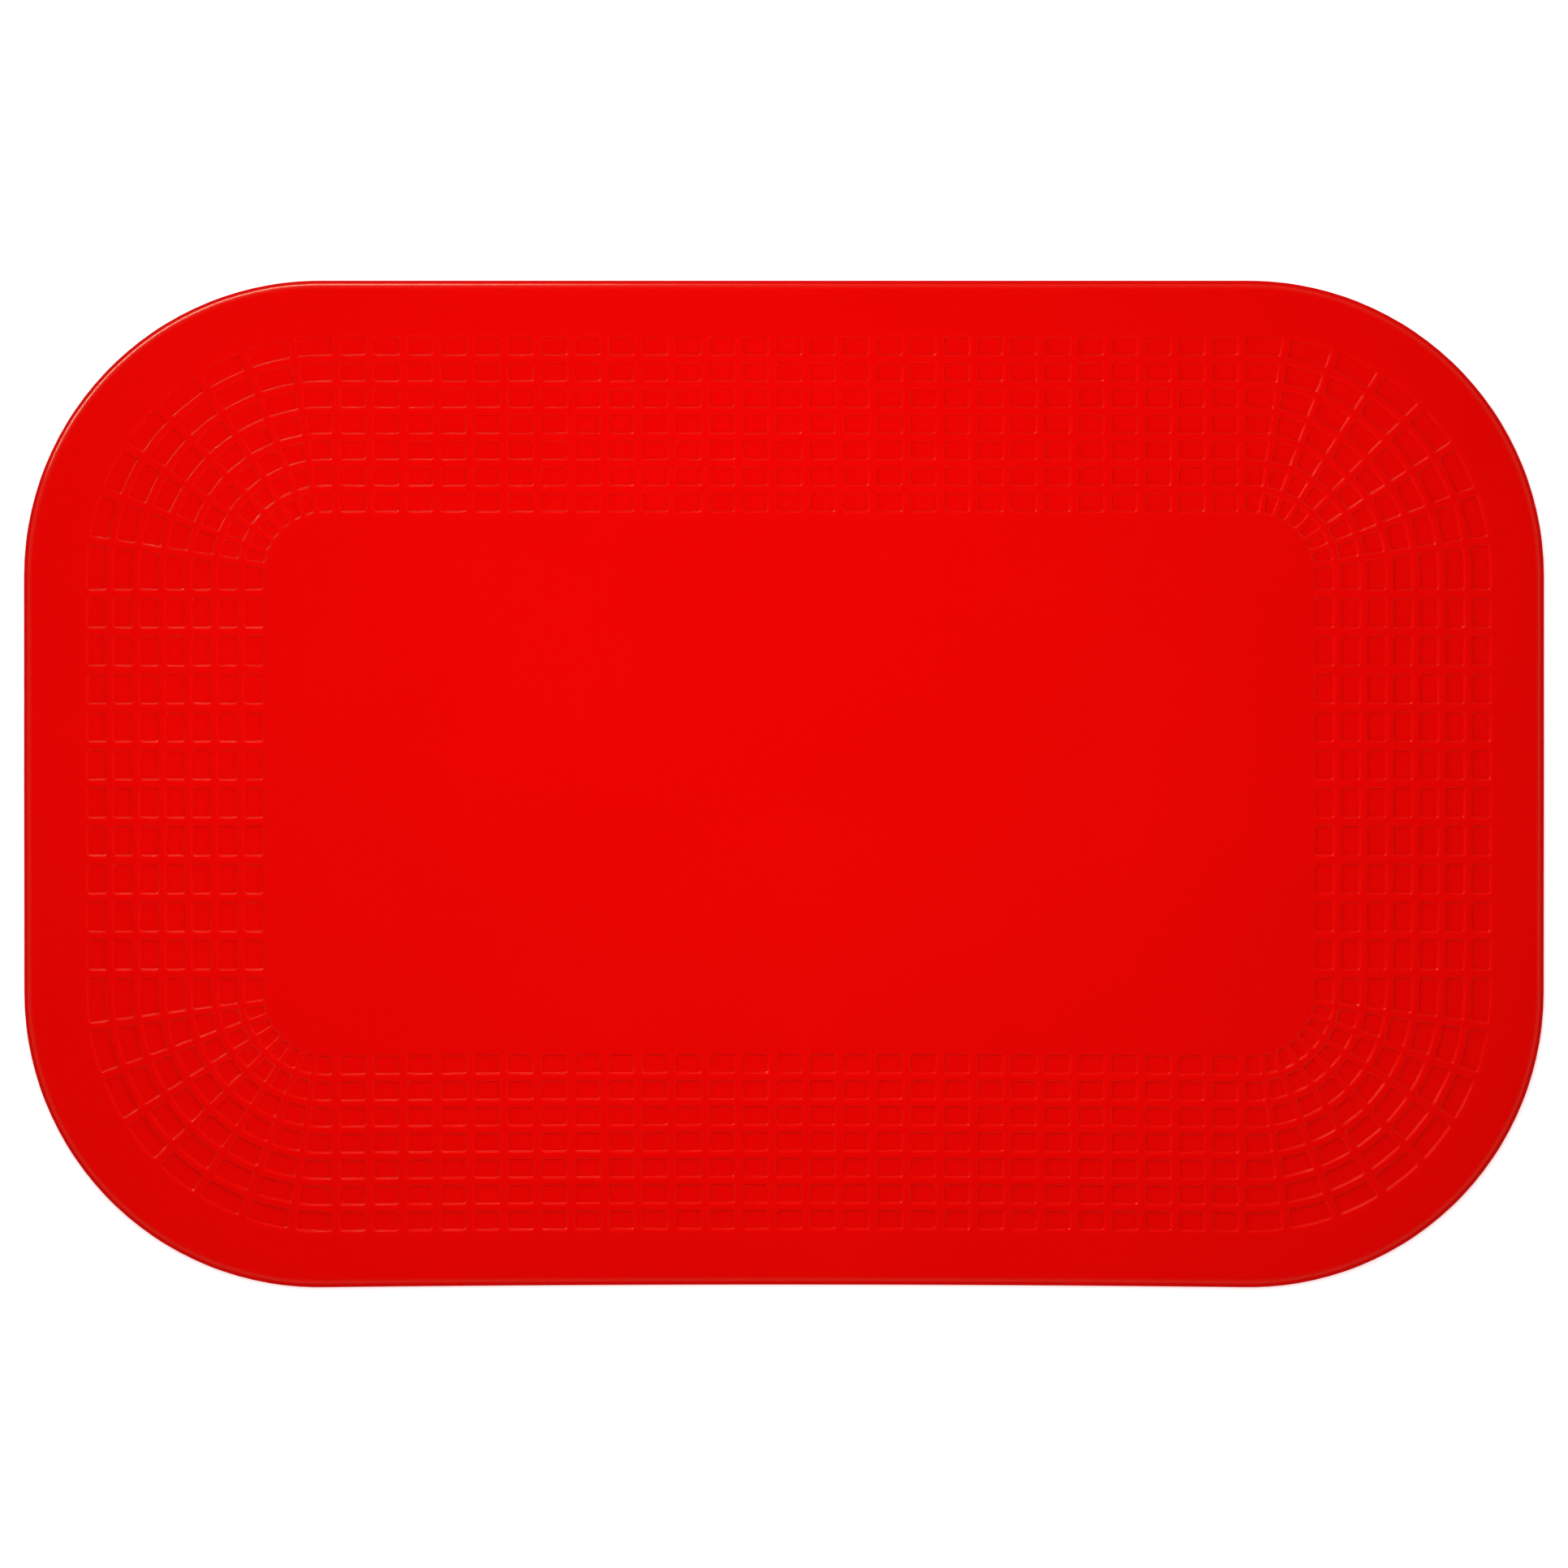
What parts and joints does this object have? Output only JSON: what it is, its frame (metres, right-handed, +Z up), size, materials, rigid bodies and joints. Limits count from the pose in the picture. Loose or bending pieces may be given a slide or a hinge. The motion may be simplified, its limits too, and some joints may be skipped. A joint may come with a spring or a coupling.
{
  "type": "non-slip table mat",
  "caption": "Rounded rectangular moulded non-slip mat with a band of shallow recessed cells round a plain middle field, used under plates, glasses or small tools.",
  "frame": {"origin": "centre of the underside", "axes": "+X along the mat's length, +Y along its width, +Z up out of the face that has the cells"},
  "size_m": [0.36, 0.2384, 0.004],
  "materials": {
    "mat": "satin, very fine grain"
  },
  "bodies": {
    "root": {"mat": "mat"}
  },
  "joints": []
}
